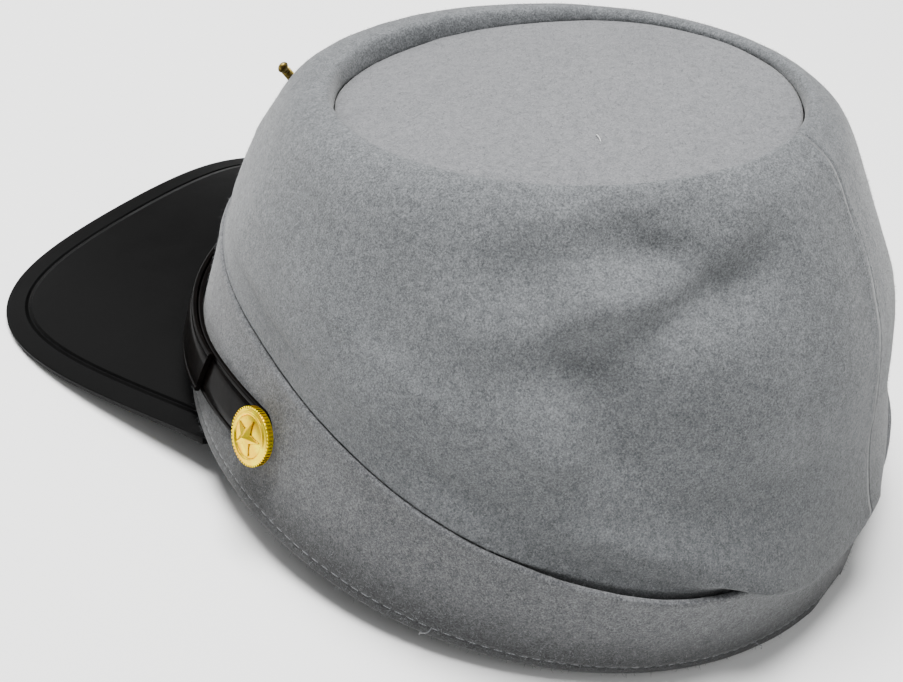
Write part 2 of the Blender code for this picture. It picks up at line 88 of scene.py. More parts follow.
def add_node(tree, kind, inputs, **settings):
    """Add a node, set its options and fill its sockets."""
    node = tree.nodes.new(kind)
    for option, value in settings.items():
        setattr(node, option, value)
    fill(tree, node, inputs)
    return node


def ramp(tree, value, *stops):
    """Colour that a value picks between stops."""
    node = add_node(tree, "ShaderNodeValToRGB", {"Fac": value})
    elements = node.color_ramp.elements
    for index, (position, code) in enumerate(stops):
        stop = elements[index] if index < 2 else elements.new(position)
        stop.position = position
        stop.color = srgb(code)
    return node.outputs["Color"]


def ranged(tree, value, low, high, first, last, shape="SMOOTHSTEP"):
    """Value moved from one range into another and kept inside it."""
    node = add_node(tree, "ShaderNodeMapRange", {
        "Value": value, "From Min": low, "From Max": high, "To Min": first, "To Max": last,
    }, interpolation_type=shape)
    return node.outputs[0]


def multiplied(tree, first, second):
    """One colour times another."""
    mix = add_node(tree, "ShaderNodeMix", {
        "Factor": 1.0, 6: first, 7: second,
    }, data_type="RGBA", blend_type="MULTIPLY")
    return mix.outputs[2]


def new_material(name):
    """Empty principled material: its node tree, its shader and its Object coordinates."""
    material = bpy.data.materials.new(name)
    material.use_nodes = True
    tree = material.node_tree
    place = add_node(tree, "ShaderNodeTexCoord", {}).outputs["Object"]
    return material, tree, tree.nodes["Principled BSDF"], place


bpy.ops.object.select_all(action="DESELECT")
bpy.ops.mesh.primitive_grid_add(
    x_subdivisions=4, y_subdivisions=4, size=FLOOR_SIZE, location=(0.0, 0.0, -FLOOR_DROP),
)
floor = bpy.context.object
floor.name = "floor"
# Nearly white paint, quite matt, so faintly mottled that it reads as one even ground.
material, tree, shader, place = new_material("pale painted board")
mottle = add_node(tree, "ShaderNodeTexNoise", {"Vector": place, "Scale": 3.0, "Detail": 2.0})
tone = ramp(tree, mottle.outputs["Fac"], (0.3, "#f5f5f4"), (0.7, "#f8f8f7"))
fill(tree, shader, {"Base Color": tone, "Roughness": 0.9})
floor.data.materials.append(material)

for name, spot, size, power in (
    ("key_softbox", KEY_PLACE, KEY_SIZE, KEY_POWER),
    ("front_softbox", FRONT_PLACE, SIDE_SIZE, FRONT_POWER),
    ("rear_softbox", REAR_PLACE, SIDE_SIZE, REAR_POWER),
):
    bpy.ops.object.light_add(type="AREA", location=spot)
    lamp = bpy.context.object
    lamp.name = name
    lamp.data.shape = "DISK"
    lamp.data.size = size
    lamp.data.energy = power
    lamp.rotation_euler = (LAMP_AIM - lamp.location).to_track_quat("-Z", "Y").to_euler()

room = bpy.data.worlds.new("white room")
bpy.context.scene.world = room
room.use_nodes = True
room.node_tree.nodes["Background"].inputs["Color"].default_value = srgb("#f6f7f8")
room.node_tree.nodes["Background"].inputs["Strength"].default_value = ROOM_LIGHT

# The camera: seen from behind the wearer's left shoulder and from above. Angles and the
# aim are on the level cap, so the camera tips with the cap as one picture.
VIEW_AZIMUTH = 115.589
VIEW_ELEVATION = 38.337
VIEW_ROLL = 14.705
VIEW_DISTANCE = 0.48812
VIEW_AIM_HEIGHT = 0.060
VIEW_ACROSS = -0.034790
VIEW_UP = -0.024525
LENS_MM = 73.82
SENSOR_MM = 36.0

turn, rise, roll = (math.radians(value) for value in (VIEW_AZIMUTH, VIEW_ELEVATION, VIEW_ROLL))
back = Vector((math.sin(turn) * math.cos(rise), -math.cos(turn) * math.cos(rise), math.sin(rise)))
right = Vector((math.cos(turn), math.sin(turn), 0.0))
up = back.cross(right)
right, up = right * math.cos(roll) + up * math.sin(roll), up * math.cos(roll) - right * math.sin(roll)
stand = Matrix((right, up, back)).transposed().to_4x4()
stand.translation = (
    Vector((0.0, 0.0, VIEW_AIM_HEIGHT)) + back * VIEW_DISTANCE + right * VIEW_ACROSS + up * VIEW_UP
)
bpy.ops.object.camera_add()
camera = bpy.context.object
camera.matrix_world = pose @ stand
camera.data.lens = LENS_MM
camera.data.sensor_width = SENSOR_MM
camera.data.clip_start = 0.01
bpy.context.scene.camera = camera


# The crown: side wall of thick wool felt, sewn up the back, folded over at the rim and
# slumped towards its back, with the soft dents of a cap that has been stored.
BASE_HALF_WIDTH = 0.0931
BASE_FRONT = 0.0995
BASE_REAR = 0.0959
REAR_HEIGHT = 0.1190
SEAM_ANGLE = 184.0
SEAM_RIDGE = 0.00045
SEAM_RIDGE_WIDTH = 0.0026
WAVE_HEIGHT = 0.00045
WAVE_LENGTH = 0.017
RIPPLE_HEIGHT = 0.00012
RIPPLE_LENGTH = 0.0055
# Widths over which the seam's line sinks, and its depth.
SEAM_LINE = (0.0002, 0.0011)
SEAM_LINE_DEPTH = 0.0007
# Spacing of the felt's tufts, of their clumps and of paler and darker patches.
TUFT_SIZE = 0.00046
CLUMP_SIZE = 0.0021
PATCH_SIZE = 0.026
# Waves and creases grow in over this share of the rear height, and lift a little as they push.
SHAPED_FROM = 0.30
SHAPED_OVER = 0.06
SHAPED_LIFT = 0.35
CREASE_GIRTH = 0.75
CREASE_END = 0.35
LIP_STEPS = 64
LIP_ZONE = 0.0015
# Behind the band's lip the wall comes out to it, except within some degrees of the slump.
FLUSH_GAP = 0.0009
FLUSH_TUCK = 0.0012
FLUSH_START = 0.0018
FLUSH_HEIGHT = 0.044
FLUSH_AWAY = 42.0
FLUSH_FADE = 22.0
SLUMP_ANGLE = 171.0
# Felt is met within this reach of the outer face, measured from just under its skin.
FELT_SKIN = 0.0003
FELT_REACH = 0.012
# Heights above the band's lip between which the wall is relaxed, and how often.
EASE_TOP = 0.93
FIRST_EASE_FROM = 0.002
FIRST_EASE_ROUNDS = 4
FOOT_EASE_FROM = 0.0012
FOOT_EASE_TO = 0.026
FOOT_EASE_ROUNDS = 60
# Heights between which painted shade darkens the wall towards its foot.
WALL_SHADE_LOW = 0.020
WALL_SHADE_HIGH = 0.066

# Creases finer than the solid's folds, in degrees round the level cap and in shares of its
# rear height, with widths and depths in metres. A ridge has a negative depth.
CREASES = (
    # start angle, start height, end angle, end height, width, depth
    (122, 0.745, 155, 0.852, 0.0055, 0.0048),
    (114, 0.846, 138, 0.866, 0.0050, 0.0060),
    (115, 0.768, 134, 0.828, 0.0052, -0.0030),
    (128, 0.81, 150, 0.91, 0.0045, -0.0010),
    (97, 0.77, 114, 0.85, 0.0060, 0.0016),
    (95, 0.64, 121, 0.765, 0.0060, -0.0022),
    (111, 0.69, 121, 0.64, 0.0060, 0.0026),
    (120, 0.64, 129, 0.42, 0.0060, 0.0020),
    (110, 0.56, 128, 0.27, 0.0052, -0.0026),
    (101, 0.40, 120, 0.30, 0.0062, 0.0026),
    (94, 0.385, 112, 0.335, 0.0055, 0.0030),
    (134, 0.35, 162, 0.43, 0.0058, 0.0026),
    (83, 0.475, 99, 0.455, 0.0055, -0.0016),
    (78, 0.58, 88, 0.54, 0.0055, 0.0012),
    (132, 0.60, 146, 0.48, 0.0065, 0.0014),
    (136, 0.38, 150, 0.32, 0.0055, -0.0010),
    (-104, 0.75, -124, 0.86, 0.0055, 0.0018),
    (-116, 0.50, -133, 0.34, 0.0055, -0.0016),
    (-98, 0.60, -112, 0.66, 0.0060, -0.0012),
)


def polar(point):
    """Angle round the level cap of a point on it, in degrees from the peak over the left."""
    reach = BASE_FRONT if point.y < 0.0 else BASE_REAR
    return math.degrees(math.atan2(point.x / BASE_HALF_WIDTH, -point.y / reach))


def soft_copy(node, name, levels):
    """Copy of a frame's solid with its corners rounded over by subdivision."""
    piece = bpy.data.objects.new(name, nodes[node].data.copy())
    bpy.context.scene.collection.objects.link(piece)
    bpy.ops.object.select_all(action="DESELECT")
    piece.select_set(True)
    bpy.context.view_layer.objects.active = piece
    piece.data.materials.clear()
    bpy.ops.mesh.customdata_custom_splitnormals_clear()
    bpy.ops.object.mode_set(mode="EDIT")
    bpy.ops.mesh.select_all(action="SELECT")
    bpy.ops.mesh.remove_doubles(threshold=0.00001)
    bpy.ops.mesh.tris_convert_to_quads(face_threshold=math.radians(50), shape_threshold=math.radians(60))
    bpy.ops.mesh.mark_sharp(clear=True)
    bpy.ops.object.mode_set(mode="OBJECT")
    round_off = piece.modifiers.new("Round", "SUBSURF")
    round_off.levels = levels
    round_off.render_levels = levels
    bpy.ops.object.modifier_apply(modifier=round_off.name)
    bpy.ops.object.shade_smooth()
    return piece


def crease_depth(angle, height):
    """How far the creases sink a point of the crown's wall."""
    degree = math.radians(1.0) * CREASE_GIRTH * BASE_HALF_WIDTH
    spot = Vector((angle * degree, height))
    total = 0.0
    for start_angle, start_height, end_angle, end_height, width, depth in CREASES:
        start = Vector((start_angle * degree, start_height * REAR_HEIGHT))
        along = Vector((end_angle * degree, end_height * REAR_HEIGHT)) - start
        part = min(max((spot - start).dot(along) / along.length_squared, 0.0), 1.0)
        fade = CREASE_END + (1.0 - CREASE_END) * math.sin(math.pi * part)
        total += depth * fade * math.exp(-((spot - start - along * part).length / width) ** 2)
    return total


def seam_distance(angle, point):
    """Distance round the cap from the back seam, in metres."""
    away = (angle - SEAM_ANGLE + 180.0) % 360.0 - 180.0
    return abs(math.radians(away)) * math.hypot(point.x, point.y)


def lip_rows():
    """Height and outer radius of the band's upper edge at even steps round the level cap."""
    heights = [0.0] * LIP_STEPS
    radii = [0.0] * LIP_STEPS
    points = [level @ vertex.co for vertex in nodes["band"].data.vertices]
    spots = [round(polar(point) / 360.0 * LIP_STEPS) % LIP_STEPS for point in points]
    for point, spot in zip(points, spots):
        heights[spot] = max(heights[spot], point.z)
    for point, spot in zip(points, spots):
        if point.z > heights[spot] - LIP_ZONE:
            radii[spot] = max(radii[spot], point.xy.length)
    return heights, radii


def read_row(row, angle):
    """Value of a row of even steps round the cap at an angle."""
    place = angle / 360.0 * LIP_STEPS
    first = math.floor(place)
    part = place - first
    return row[first % LIP_STEPS] * (1.0 - part) + row[(first + 1) % LIP_STEPS] * part


def smooth(value):
    """Soft step from 0 to 1."""
    value = min(max(value, 0.0), 1.0)
    return value * value * (3.0 - 2.0 * value)


def flush_push(angle, point):
    """How far a point of the wall comes out, so that the wall starts close behind the band's
    lip and leans evenly back from there, but for the slump at the rear.
    """
    above = point.z - read_row(lip_height_row, angle)
    missing = max(read_row(lip_radius_row, angle) - FLUSH_GAP - point.xy.length, 0.0)
    away = abs((angle - SLUMP_ANGLE + 180.0) % 360.0 - 180.0)
    return (
        missing * smooth((above + FLUSH_TUCK) / FLUSH_START) * (1.0 - smooth(above / FLUSH_HEIGHT))
        * smooth((away - FLUSH_AWAY) / FLUSH_FADE)
    )


def surface_of(piece):
    """Tree for finding places on a piece's surface."""
    form = bmesh.new()
    form.from_mesh(piece.data)
    tree = BVHTree.FromBMesh(form)
    form.free()
    return tree


def outer_marks(piece):
    """For each vertex of a piece, whether it is on the wall's outer face: from there, the way
    to the middle of the cap leads through the felt, and from the inner face it doesn't.
    """
    tree = surface_of(piece)
    marks = []
    for vertex in piece.data.vertices:
        point = level @ vertex.co
        sideways = pose.to_3x3() @ Vector((point.x, point.y, 0.0)).normalized()
        felt = tree.ray_cast(vertex.co - sideways * FELT_SKIN, -sideways, FELT_REACH)[0]
        marks.append(felt is not None)
    return marks


def ease_wall(piece, low, high, rounds):
    """Relax the outer wall between two heights above the band, so that it runs softly."""
    bpy.ops.object.mode_set(mode="EDIT")
    bpy.ops.mesh.select_all(action="DESELECT")
    bpy.ops.object.mode_set(mode="OBJECT")
    for vertex, outer in zip(piece.data.vertices, outer_marks(piece)):
        point = level @ vertex.co
        above = point.z - read_row(lip_height_row, polar(point))
        vertex.select = outer and low < above < high and point.z < EASE_TOP * REAR_HEIGHT
    bpy.ops.object.mode_set(mode="EDIT")
    bpy.ops.mesh.vertices_smooth(factor=0.5, repeat=rounds)
    bpy.ops.object.mode_set(mode="OBJECT")


def shape_crown(piece):
    """Sink the creases, raise the back seam and give the wall its hand-worked waves."""
    seam = piece.data.attributes.new("seam", "FLOAT", "POINT")
    turn_only = pose.to_3x3()
    for index, (vertex, outer) in enumerate(zip(piece.data.vertices, outer_marks(piece))):
        point = level @ vertex.co
        angle = polar(point)
        sideways = Vector((point.x, point.y, 0.0)).normalized()
        outwards = (sideways + Vector((0.0, 0.0, SHAPED_LIFT))).normalized()
        distance = seam_distance(angle, point)
        seam.data[index].value = distance
        wave = noise.noise(point / WAVE_LENGTH) * WAVE_HEIGHT
        wave += noise.noise(point / RIPPLE_LENGTH) * RIPPLE_HEIGHT
        wave += SEAM_RIDGE * math.exp(-(distance / SEAM_RIDGE_WIDTH) ** 2)
        fade = min(max((point.z / REAR_HEIGHT - SHAPED_FROM) / SHAPED_OVER, 0.0), 1.0)
        shift = outwards * (wave - crease_depth(angle, point.z)) * fade
        if outer:
            shift += sideways * flush_push(angle, point)
        vertex.co += turn_only @ shift


def wool_felt(name, dark, middle, light):
    """Brushed wool felt: matted light and dark fibres about half a millimetre apart,
    gathered into faint clumps, quite matt, with a pale glow at grazing angles.
    """
    material, tree, shader, place = new_material(name)
    tuft = add_node(tree, "ShaderNodeTexNoise", {
        "Vector": place, "Scale": 1 / TUFT_SIZE, "Detail": 2.0, "Roughness": 0.65, "Distortion": 0.6,
    })
    clump = add_node(tree, "ShaderNodeTexNoise", {
        "Vector": place, "Scale": 1 / CLUMP_SIZE, "Detail": 2.0, "Roughness": 0.6,
    })
    patch = add_node(tree, "ShaderNodeTexNoise", {
        "Vector": place, "Scale": 1 / PATCH_SIZE, "Detail": 2.0, "Roughness": 0.5,
    })
    fine = add_node(tree, "ShaderNodeMath", {
        0: tuft.outputs["Fac"], 1: 0.70, 2: 0.0,
    }, operation="MULTIPLY_ADD")
    mixed = add_node(tree, "ShaderNodeMath", {
        0: clump.outputs["Fac"], 1: 0.22, 2: fine.outputs[0],
    }, operation="MULTIPLY_ADD")
    whole = add_node(tree, "ShaderNodeMath", {
        0: patch.outputs["Fac"], 1: 0.08, 2: mixed.outputs[0],
    }, operation="MULTIPLY_ADD")
    tone = ramp(tree, whole.outputs[0], (0.36, dark), (0.50, middle), (0.64, light))
    relief = add_node(tree, "ShaderNodeMath", {
        0: clump.outputs["Fac"], 1: 1.2, 2: tuft.outputs["Fac"],
    }, operation="MULTIPLY_ADD")
    bump = add_node(tree, "ShaderNodeBump", {
        "Height": relief.outputs[0], "Strength": 0.55, "Distance": 0.00030,
    })
    fill(tree, shader, {
        "Base Color": tone, "Normal": bump.outputs["Normal"], "Roughness": 0.95,
        "Specular IOR Level": 0.2, "Sheen Weight": 0.22, "Sheen Roughness": 0.45,
        "Sheen Tint": srgb("#ececea"),
    })
    return material, tree, shader, place, tone, bump


lip_height_row, lip_radius_row = lip_rows()
crown = soft_copy("crown", "crown_felt_wall", 2)
ease_wall(crown, FIRST_EASE_FROM, REAR_HEIGHT, FIRST_EASE_ROUNDS)
shape_crown(crown)
ease_wall(crown, FOOT_EASE_FROM, FOOT_EASE_TO, FOOT_EASE_ROUNDS)
# Darker towards its foot with painted shade, with the seam's sunk line down the back.
material, tree, shader, place, tone, bump = wool_felt(
    "brushed grey wool felt of the wall", "#434547", "#5c5e60", "#747678",
)
line = add_node(tree, "ShaderNodeAttribute", {}, attribute_name="seam")
groove = ranged(tree, line.outputs["Fac"], *SEAM_LINE, 0.0, 1.0)
seam_bump = add_node(tree, "ShaderNodeBump", {
    "Height": groove, "Strength": 0.9, "Distance": SEAM_LINE_DEPTH, "Normal": bump.outputs["Normal"],
})
split = add_node(tree, "ShaderNodeSeparateXYZ", {"Vector": place})
# Painted shade: the wall's colour is darkened from its middle down to its foot.
painted_wall_shade = ranged(tree, split.outputs["Z"], WALL_SHADE_LOW, WALL_SHADE_HIGH, 0.62, 1.0)
shaded_wall_tone = multiplied(tree, tone, painted_wall_shade)
fill(tree, shader, {"Base Color": shaded_wall_tone, "Normal": seam_bump.outputs["Normal"]})
crown.data.materials.append(material)
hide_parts("crown")
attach(crown, "root")


# The top: a flat oval of the same felt, sewn in below the rim, so that it lies in a
# shallow well. Its edge runs into the seam of the rim all round.
TOP_GROWTH = 1.024
TOP_WAVE_LENGTH = 0.021
TOP_WAVE_HEIGHT = 0.00035

top = soft_copy("crown_top", "crown_felt_top", 2)
middle = sum((Vector(corner) for corner in top.bound_box), Vector()) / 8
bpy.ops.object.mode_set(mode="EDIT")
bpy.ops.mesh.select_all(action="SELECT")
bpy.ops.transform.resize(value=(TOP_GROWTH, TOP_GROWTH, TOP_GROWTH), center_override=middle)
bpy.ops.object.mode_set(mode="OBJECT")
for vertex in top.data.vertices:
    vertex.co.z += noise.noise(vertex.co / TOP_WAVE_LENGTH) * TOP_WAVE_HEIGHT
# Paler and more even than the wall: the paler tone is painted light on the top, which faces the lamp
# overhead.
top.data.materials.append(
    wool_felt("brushed grey wool felt of the top", "#595a5c", "#696a6c", "#79797b")[0]
)
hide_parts("crown_top")
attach(top, "root")


# The band: a strip of felt folded double round the lower edge, with a soft upper lip. A row
# of machine stitches holds its fold just above the lower edge and draws a faint furrow.
HEM_HEIGHT = 0.0032
HEM_WIDTH = 0.0009
HEM_DEPTH = 0.0003
LIP_DEPTH = 0.0042
LIP_SWELL = 0.0006
LIP_SWELL_START = 0.25
BAND_WAVE_LENGTH = 0.014
BAND_WAVE_HEIGHT = 0.00030
BAND_RIPPLE_LENGTH = 0.005
BAND_RIPPLE_HEIGHT = 0.00010
BAND_FOOT = 0.004
# Height up to which soil and painted shade darken the band.
SOIL_AND_SHADE_HEIGHT = 0.022


def shape_band(piece):
    """Swell the band's upper lip, give its face soft waves and note heights for the hem."""
    hem = piece.data.attributes.new("hem", "FLOAT", "POINT")
    turn_only = pose.to_3x3()
    for index, vertex in enumerate(piece.data.vertices):
        point = level @ vertex.co
        lip = read_row(lip_height_row, polar(point))
        below = min(max((lip - point.z) / LIP_DEPTH, 0.0), 1.0)
        outwards = Vector((point.x, point.y, 0.0)).normalized()
        push = noise.noise(point / BAND_WAVE_LENGTH) * BAND_WAVE_HEIGHT
        push += noise.noise(point / BAND_RIPPLE_LENGTH) * BAND_RIPPLE_HEIGHT
        if below < 1.0:
            push += LIP_SWELL * math.sin(math.pi * min(below + LIP_SWELL_START, 1.0))
        hem.data[index].value = point.z
        vertex.co += turn_only @ (outwards * push * min(point.z / BAND_FOOT, 1.0))


band = soft_copy("band", "band_felt", 2)
shape_band(band)
# The darkest felt of the cap, darker still at its lower edge, partly from soil and partly from painted
# shade, with the hem's pulled furrow.
material, tree, shader, place, tone, bump = wool_felt(
    "brushed grey wool felt of the band", "#3c3d3f", "#58595b", "#747576",
)
rise = add_node(tree, "ShaderNodeAttribute", {}, attribute_name="hem")
away = add_node(tree, "ShaderNodeMath", {0: rise.outputs["Fac"], 1: HEM_HEIGHT}, operation="SUBTRACT")
size = add_node(tree, "ShaderNodeMath", {0: away.outputs[0]}, operation="ABSOLUTE")
# Soil and painted shade: the band's colour darkens towards its lower edge.
soil_and_shade = ranged(tree, rise.outputs["Fac"], 0.0, SOIL_AND_SHADE_HEIGHT, 0.32, 0.94)
soiled_and_shaded = multiplied(tree, tone, soil_and_shade)
furrow = ranged(tree, size.outputs[0], 0.0, HEM_WIDTH, 0.0, 1.0)
hem_bump = add_node(tree, "ShaderNodeBump", {
    "Height": furrow, "Strength": 0.5, "Distance": HEM_DEPTH, "Normal": bump.outputs["Normal"],
})
fill(tree, shader, {"Base Color": soiled_and_shaded, "Normal": hem_bump.outputs["Normal"]})
band.data.materials.append(material)
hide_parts("band")
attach(band, "root")


# The stitches: pale grey thread, machine sewn in one row round the band's hem and in two
# rows down the back seam. Each stitch is a short bead of thread pulled into the felt.
STITCH_LENGTH = 0.0024
STITCH_GAP = 0.0007
STITCH_WIDTH = 0.00036
STITCH_RISE = 0.00026
PLY_WIDTH = 0.0006
SEAM_ROW_AWAY = 0.0019
SEAM_ROW_SPREAD = 1.3
SEAM_ROW_FROM = 0.47
SEAM_ROW_TO = 0.965
SEAM_ROW_STEPS = 400
HEM_ROW_STEPS = 3600
OUTSIDE_REACH = 0.2


def place_on(tree, angle, height):
    """Place and direction of the outer surface at an angle and height of the level cap."""
    turn = math.radians(angle)
    outwards = Vector((math.sin(turn) * BASE_HALF_WIDTH, -math.cos(turn) * BASE_FRONT, 0.0)).normalized()
    start = pose @ (outwards * OUTSIDE_REACH + Vector((0.0, 0.0, height)))
    return tree.ray_cast(start, pose.to_3x3() @ -outwards)[:2]


def even_places(tree, path, pitch):
    """Places at an even pitch along a row of angles and heights."""
    places = [place_on(tree, angle, height) for angle, height in path]
    kept = [places[0]]
    for spot, normal in places[1:]:
        if (spot - kept[-1][0]).length >= pitch:
            kept.append((spot, normal))
    return kept


def sew(name, rows):
    """Beads of thread between neighbouring places of each row, joined into one piece."""
    bpy.ops.object.select_all(action="DESELECT")
    bpy.ops.mesh.primitive_uv_sphere_add(segments=8, ring_count=6, radius=0.5)
    bead = bpy.context.object
    mesh = bead.data
    bpy.data.objects.remove(bead)
    form = bmesh.new()
    for row in rows:
        for (start, normal), (end, other) in zip(row, row[1:]):
            along = (end - start).normalized()
            outwards = (normal + other).normalized()
            across = outwards.cross(along).normalized()
            turn = Matrix((along, across, along.cross(across))).transposed().to_4x4()
            size = Matrix.Diagonal((STITCH_LENGTH, STITCH_WIDTH, STITCH_RISE, 1.0))
            before = len(form.verts)
            form.from_mesh(mesh)
            form.verts.ensure_lookup_table()
            stand = Matrix.Translation((start + end) / 2) @ turn @ size
            bmesh.ops.transform(form, matrix=stand, verts=form.verts[before:])
    mesh = bpy.data.meshes.new(name)
    form.to_mesh(mesh)
    form.free()
    mesh.shade_smooth()
    piece = bpy.data.objects.new(name, mesh)
    bpy.context.scene.collection.objects.link(piece)
    return piece


def seam_path(away):
    """Angles and heights down the back seam, a distance to one side of it."""
    path = []
    for step in range(SEAM_ROW_STEPS):
        share = step / (SEAM_ROW_STEPS - 1)
        height = REAR_HEIGHT * (SEAM_ROW_FROM + (SEAM_ROW_TO - SEAM_ROW_FROM) * share)
        path.append((SEAM_ANGLE + away, height))
    return path


# Twisted cotton, a shade paler than the darkened hem, with its plies just showing.
material, tree, shader, place = new_material("grey sewing thread")
ply = add_node(tree, "ShaderNodeTexWave", {
    "Vector": place, "Scale": 1 / PLY_WIDTH, "Distortion": 1.5, "Detail": 1.0,
}, wave_type="BANDS", bands_direction="DIAGONAL")
tone = ramp(tree, ply.outputs["Fac"], (0.2, "#4a4c4e"), (0.8, "#6c6e70"))
bump = add_node(tree, "ShaderNodeBump", {
    "Height": ply.outputs["Fac"], "Strength": 0.5, "Distance": 0.0001,
})
fill(tree, shader, {
    "Base Color": tone, "Normal": bump.outputs["Normal"], "Roughness": 0.7, "Sheen Weight": 0.3,
})
thread = material

pitch = STITCH_LENGTH + STITCH_GAP
band_surface = surface_of(band)
crown_surface = surface_of(crown)
hem_path = [(360.0 * step / HEM_ROW_STEPS, HEM_HEIGHT) for step in range(HEM_ROW_STEPS)]
hem_row = even_places(band_surface, hem_path, pitch)
seam_turn = math.degrees(SEAM_ROW_AWAY / BASE_REAR) * SEAM_ROW_SPREAD
seam_rows = [even_places(crown_surface, seam_path(side * seam_turn), pitch) for side in (-1, 1)]
for name, rows, slot in (
    ("hem_stitches", [hem_row], "band_felt"),
    ("back_seam_stitches", seam_rows, "crown_felt"),
):
    stitches = sew(name, rows)
    stitches.data.materials.append(thread)
    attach(stitches, "root")


# The loose ends: two ends of the hem's thread have worked out of the felt and curl down from
# it, and one pale wool fibre lies on the top.
TAIL_WIDTH = 0.00026
TAILS = (
    # angle, height, reach out, drift sideways
    (105.6, 0.0029, 0.0034, -0.0022),
    (157.0, 0.0058, 0.0040, 0.0026),
)
LINT_PLACE = Vector((0.021, 0.001, 0.13))
LINT_ALONG = Vector((0.6, 0.8, 0.0))
LINT_LENGTH = 0.0034
LINT_WIDTH = 0.00022
LINT_DIP = 0.0004
LINT_SHADE = 0.0004


def fibre(start, lean, end, droop, width):
    """Short curved fibre between two places, as a thin tube."""
    bpy.ops.object.select_all(action="DESELECT")
    bpy.ops.curve.primitive_bezier_curve_add(radius=0.001)
    tail = bpy.context.object
    first, last = tail.data.splines[0].bezier_points
    first.co = start
    first.handle_right = start + lean
    first.handle_left = start - lean
    last.co = end
    last.handle_left = end - droop
    last.handle_right = end + droop
    tail.data.bevel_depth = width / 2
    tail.data.bevel_resolution = 2
    tail.data.use_fill_caps = True
    bpy.ops.object.convert(target="MESH")
    return tail


downwards = Vector((0.0, 0.0, -1.0))
for index, (angle, height, reach, drift) in enumerate(TAILS):
    spot, normal = place_on(band_surface, angle, height)
    end = spot + normal * reach * 0.55 + normal.cross(downwards) * drift + downwards * height * 0.5
    tail = fibre(spot, normal * reach, end, downwards * reach * 0.5, TAIL_WIDTH)
    tail.name = f"loose_thread_{index + 1}"
    tail.data.materials.append(thread)
    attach(tail, "root")
spot, normal = surface_of(top).ray_cast(pose @ LINT_PLACE, downwards)[:2]
spot += normal * LINT_WIDTH
along = LINT_ALONG * LINT_LENGTH
lean = normal * LINT_LENGTH * 0.3 + along * 0.3
lint = fibre(spot, lean, spot + along, along * 0.3 - normal * LINT_DIP, LINT_WIDTH)
lint.name = "lint_fibre"
# One off-white hair, matt, that catches the eye on the plain top.
material, tree, shader, place = new_material("pale wool lint")
shade = add_node(tree, "ShaderNodeTexNoise", {"Vector": place, "Scale": 1 / LINT_SHADE, "Detail": 1.0})
tone = ramp(tree, shade.outputs["Fac"], (0.3, "#b8b9b8"), (0.7, "#dcdcda"))
fill(tree, shader, {"Base Color": tone, "Roughness": 0.9})
lint.data.materials.append(material)
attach(lint, "root")


# The peak: a crescent of stiff black leather, waxed and pressed, with a line tooled in from
# its outer edge.
PEAK_GROOVE_INSET = 0.0066
PEAK_GROOVE_WIDTH = 0.0011
PEAK_GROOVE_DEPTH = 0.00080
PEAK_GRAIN = 0.0007
PEAK_SCUFF = 0.012
PEAK_HALF_WIDTH = 0.0758
PEAK_FRONT = BASE_FRONT + 0.0546
PEAK_SQUARENESS = 4.4
PEAK_OUTLINE_STEPS = 240


def peak_outline():
    """The peak's outer edge on the level cap, as points in plan."""
    corner = -BASE_FRONT * math.sqrt(1.0 - (PEAK_HALF_WIDTH / BASE_HALF_WIDTH) ** 2)
    power = 2.0 / PEAK_SQUARENESS
    points = []
    for step in range(PEAK_OUTLINE_STEPS + 1):
        turn = math.pi * (step / PEAK_OUTLINE_STEPS - 0.5)
        across = math.copysign(abs(math.sin(turn)) ** power, turn)
        ahead = max(math.cos(turn), 0.0) ** power
        points.append(Vector((PEAK_HALF_WIDTH * across, corner - (PEAK_FRONT + corner) * ahead)))
    return points


def mark_edge_distance(piece, outline):
    """Store how far each point lies in from the outline."""
    edge = piece.data.attributes.new("edge", "FLOAT", "POINT")
    for index, vertex in enumerate(piece.data.vertices):
        spot = (level @ vertex.co).xy
        nearest = 1.0
        for first, second in zip(outline, outline[1:]):
            along = second - first
            part = min(max((spot - first).dot(along) / along.length_squared, 0.0), 1.0)
            nearest = min(nearest, (spot - first - along * part).length)
        edge.data[index].value = nearest


peak = soft_copy("peak", "peak_leather", 2)
mark_edge_distance(peak, peak_outline())
# Near black with a low, slightly patchy sheen, a fine pebbled grain and the tooled line.
material, tree, shader, place = new_material("waxed black leather")
grain = add_node(tree, "ShaderNodeTexVoronoi", {
    "Vector": place, "Scale": 1 / PEAK_GRAIN, "Randomness": 1.0,
}, feature="DISTANCE_TO_EDGE")
scuff = add_node(tree, "ShaderNodeTexNoise", {
    "Vector": place, "Scale": 1 / PEAK_SCUFF, "Detail": 4.0, "Roughness": 0.6,
})
edge = add_node(tree, "ShaderNodeAttribute", {}, attribute_name="edge")
away = add_node(tree, "ShaderNodeMath", {
    0: edge.outputs["Fac"], 1: PEAK_GROOVE_INSET,
}, operation="SUBTRACT")
size = add_node(tree, "ShaderNodeMath", {0: away.outputs[0]}, operation="ABSOLUTE")
tooled = ranged(tree, size.outputs[0], 0.0, PEAK_GROOVE_WIDTH, 0.0, 1.0)
grain_bump = add_node(tree, "ShaderNodeBump", {
    "Height": grain.outputs["Distance"], "Strength": 0.25, "Distance": 0.00010,
})
groove_bump = add_node(tree, "ShaderNodeBump", {
    "Height": tooled, "Strength": 1.0, "Distance": PEAK_GROOVE_DEPTH,
    "Normal": grain_bump.outputs["Normal"],
})
tone = ramp(tree, scuff.outputs["Fac"], (0.35, "#040404"), (0.65, "#070707"))
gloss = ranged(tree, scuff.outputs["Fac"], 0.3, 0.7, 0.40, 0.52, "LINEAR")
fill(tree, shader, {
    "Base Color": tone, "Roughness": gloss, "Normal": groove_bump.outputs["Normal"],
    "Specular IOR Level": 0.035,
})
peak.data.materials.append(material)
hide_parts("peak")
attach(peak, "root")


# The chin strap: two tongues of patent leather, one lying on the other, each with a line
# pressed in along both edges, a square-cut free end and a round end under its button.
STRAP_ROUND = 0.0062
STRAP_ROUND_LEAST = 0.1
STRAP_STEPS = 6
STRAP_RIPPLE = 0.004
